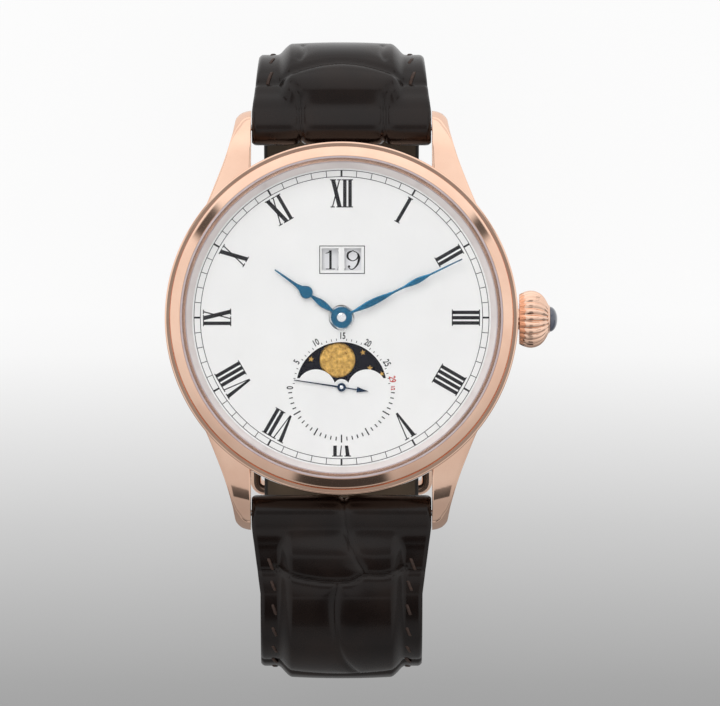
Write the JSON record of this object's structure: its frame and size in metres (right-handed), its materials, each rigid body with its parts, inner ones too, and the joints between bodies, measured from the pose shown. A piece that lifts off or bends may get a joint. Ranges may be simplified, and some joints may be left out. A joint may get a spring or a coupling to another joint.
{
  "type": "moon phase watch",
  "caption": "Round dress wristwatch with a domed crystal, moon phase and small seconds, big date, onion crown and a buckled leather strap in a closed loop.",
  "frame": {"origin": "centre of the case back's outer face", "axes": "+Z out of the dial, +Y to twelve o'clock, +X to three o'clock and the crown; the strap hangs below in -Z"},
  "size_m": [0.0434, 0.0712, 0.0643],
  "materials": {
    "rose_gold": "polished rose gold plate",
    "crystal_glass": "clear, polished",
    "gasket_rubber": "matt black nitrile rubber",
    "steel": "finely brushed",
    "holder_metal": "plain turned",
    "rehaut_metal": "satin, pale",
    "dial_enamel": "satin white with black printed numerals",
    "moon_print": "dark blue with a gold moon and stars",
    "date_print": "matt grey white with black digits",
    "blued_steel": "polished blue",
    "rhodium_plate": "striped rhodium plate",
    "gilt_brass": "fine brushed gilt",
    "ruby": "polished",
    "cabochon_stone": "polished dark stone",
    "strap_leather": "glossy dark brown, large scale embossing",
    "lining_leather": "smooth olive brown"
  },
  "bodies": {
    "case": {"mid_case": "rose_gold", "bezel": "rose_gold", "case_back": "rose_gold", "buckle_frame": "rose_gold", "buckle_bar": "rose_gold", "crystal": "crystal_glass", "back_crystal": "crystal_glass", "crystal_gasket": "gasket_rubber", "back_crystal_gasket": "gasket_rubber", "crown_tube": "steel", "spring_bar_tube_12": "steel", "spring_bar_tube_6": "steel", "hairspring": "steel", "rotor_bearing": "steel", "movement_ring": "holder_metal", "rehaut_ring": "rehaut_metal", "dial": "dial_enamel", "movement_screws": "blued_steel", "main_plate": "rhodium_plate", "calendar_plate": "rhodium_plate", "barrel_bridge": "rhodium_plate", "train_bridge": "rhodium_plate", "balance_cock": "rhodium_plate", "pallet_bridge": "rhodium_plate", "jewels": "ruby", "strap_12_leather": "strap_leather", "strap_6_leather": "strap_leather", "fixed_keeper": "strap_leather", "strap_12_lining": "lining_leather", "strap_6_lining": "lining_leather"},
    "winding_pinion": {"clutch_wheel": "steel"},
    "crown": {"crown": "rose_gold", "crown_cabochon": "cabochon_stone", "winding_stem": "steel"},
    "crown_wheel": {"crown_wheel": "steel"},
    "ratchet": {"ratchet_wheel": "steel"},
    "click": {"click": "steel"},
    "barrel": {"barrel": "gilt_brass"},
    "minutes": {"centre_wheel": "gilt_brass", "cannon_pinion": "steel", "minute_hand": "blued_steel"},
    "minute_work": {"minute_wheel": "gilt_brass"},
    "hours": {"hour_wheel": "gilt_brass", "hour_hand": "blued_steel"},
    "third": {"third_wheel": "gilt_brass"},
    "seconds": {"fourth_wheel": "gilt_brass", "seconds_hand": "blued_steel"},
    "escape": {"escape_wheel": "gilt_brass"},
    "pallets": {"pallet_fork": "steel"},
    "balance": {"balance_wheel": "gilt_brass"},
    "rotor": {"rotor": "rhodium_plate"},
    "moon": {"moon_disc": "moon_print"},
    "date_units": {"date_units_disc": "date_print"},
    "date_tens": {"date_tens_disc": "date_print"},
    "pin_12_left": {"bar_pin_12_left": "steel"},
    "pin_12_right": {"bar_pin_12_right": "steel"},
    "pin_6_left": {"bar_pin_6_left": "steel"},
    "pin_6_right": {"bar_pin_6_right": "steel"},
    "tongue": {"buckle_tongue": "rose_gold"},
    "keeper": {"free_keeper": "strap_leather"}
  },
  "joints": [
    {"name": "seconds_spin", "type": "hinge", "parent": "case", "child": "seconds", "pos_m": [0, -0.00765, 0.005], "axis": [0, 0, 1], "continuous": true},
    {"name": "minute_spin", "type": "hinge", "parent": "case", "child": "minutes", "pos_m": [0, 0, 0.005], "axis": [0, 0, 1], "continuous": true},
    {"name": "minute_work_spin", "type": "hinge", "parent": "case", "child": "minute_work", "pos_m": [-0.0028, 0, 0.005], "axis": [0, 0, 1], "continuous": true},
    {"name": "hour_spin", "type": "hinge", "parent": "case", "child": "hours", "pos_m": [0, 0, 0.005], "axis": [0, 0, 1], "continuous": true},
    {"name": "third_spin", "type": "hinge", "parent": "case", "child": "third", "pos_m": [0.00359, -0.00403, 0.005], "axis": [0, 0, 1], "continuous": true},
    {"name": "escape_spin", "type": "hinge", "parent": "case", "child": "escape", "pos_m": [-0.00359, -0.00932, 0.005], "axis": [0, 0, 1], "continuous": true},
    {"name": "barrel_spin", "type": "hinge", "parent": "case", "child": "barrel", "pos_m": [0.00285, 0.00639, 0.005], "axis": [0, 0, 1], "continuous": true},
    {"name": "crown_turn", "type": "hinge", "parent": "case", "child": "winding_pinion", "pos_m": [0.012, 0, 0.0049], "axis": [1, 0, 0], "continuous": true},
    {"name": "crown_pull", "type": "slide", "parent": "winding_pinion", "child": "crown", "axis": [1, 0, 0], "range_m": [0, 0.0011]},
    {"name": "crown_wheel_spin", "type": "hinge", "parent": "case", "child": "crown_wheel", "pos_m": [0.00806, 0, 0.005], "axis": [0, 0, 1], "continuous": true},
    {"name": "ratchet_spin", "type": "hinge", "parent": "case", "child": "ratchet", "pos_m": [0.00285, 0.00639, 0.005], "axis": [0, 0, 1], "continuous": true},
    {"name": "click_rock", "type": "hinge", "parent": "case", "child": "click", "pos_m": [-0.00244, 0.00944, 0.005], "axis": [0, 0, 1], "range_deg": [0, 6]},
    {"name": "pallet_rock", "type": "hinge", "parent": "case", "child": "pallets", "pos_m": [-0.00569, -0.0078, 0.005], "axis": [0, 0, 1], "range_deg": [-5, 5]},
    {"name": "balance_swing", "type": "hinge", "parent": "case", "child": "balance", "pos_m": [-0.00836, -0.00586, 0.005], "axis": [0, 0, 1], "range_deg": [-270, 270]},
    {"name": "rotor_spin", "type": "hinge", "parent": "case", "child": "rotor", "pos_m": [0, 0, 0.005], "axis": [0, 0, 1], "continuous": true},
    {"name": "moon_turn", "type": "hinge", "parent": "case", "child": "moon", "pos_m": [0, -0.00765, 0.005], "axis": [0, 0, 1], "continuous": true},
    {"name": "date_units_turn", "type": "hinge", "parent": "case", "child": "date_units", "pos_m": [0.00585, 0.0064, 0.005], "axis": [0, 0, 1], "continuous": true},
    {"name": "date_tens_turn", "type": "hinge", "parent": "case", "child": "date_tens", "pos_m": [-0.00315, 0.0064, 0.005], "axis": [0, 0, 1], "continuous": true},
    {"name": "pin_12_left_press", "type": "slide", "parent": "case", "child": "pin_12_left", "axis": [1, 0, 0], "range_m": [0, 0.001], "stiffness_N_per_m": 200},
    {"name": "pin_12_right_press", "type": "slide", "parent": "case", "child": "pin_12_right", "axis": [-1, 0, 0], "range_m": [0, 0.001], "stiffness_N_per_m": 200},
    {"name": "pin_6_left_press", "type": "slide", "parent": "case", "child": "pin_6_left", "axis": [1, 0, 0], "range_m": [0, 0.001], "stiffness_N_per_m": 200},
    {"name": "pin_6_right_press", "type": "slide", "parent": "case", "child": "pin_6_right", "axis": [-1, 0, 0], "range_m": [0, 0.001], "stiffness_N_per_m": 200},
    {"name": "tongue_swing", "type": "hinge", "parent": "case", "child": "tongue", "pos_m": [0, -0.0083, -0.0452], "axis": [1, 0, 0], "range_deg": [0, 3]},
    {"name": "keeper_slide", "type": "slide", "parent": "case", "child": "keeper", "axis": [0, 1, 0], "range_m": [-0.0015, 0.0013]}
  ],
  "couplings": [
    {"joint": "third_spin", "follows": "seconds_spin", "ratio": -0.13333},
    {"joint": "minute_spin", "follows": "seconds_spin", "ratio": 0.016667},
    {"joint": "minute_work_spin", "follows": "seconds_spin", "ratio": -0.0055556},
    {"joint": "hour_spin", "follows": "seconds_spin", "ratio": 0.0013889},
    {"joint": "barrel_spin", "follows": "seconds_spin", "ratio": -0.0027778},
    {"joint": "escape_spin", "follows": "seconds_spin", "ratio": -10},
    {"joint": "crown_wheel_spin", "follows": "crown_turn", "ratio": 0.46154},
    {"joint": "ratchet_spin", "follows": "crown_turn", "ratio": -0.3}
  ]
}
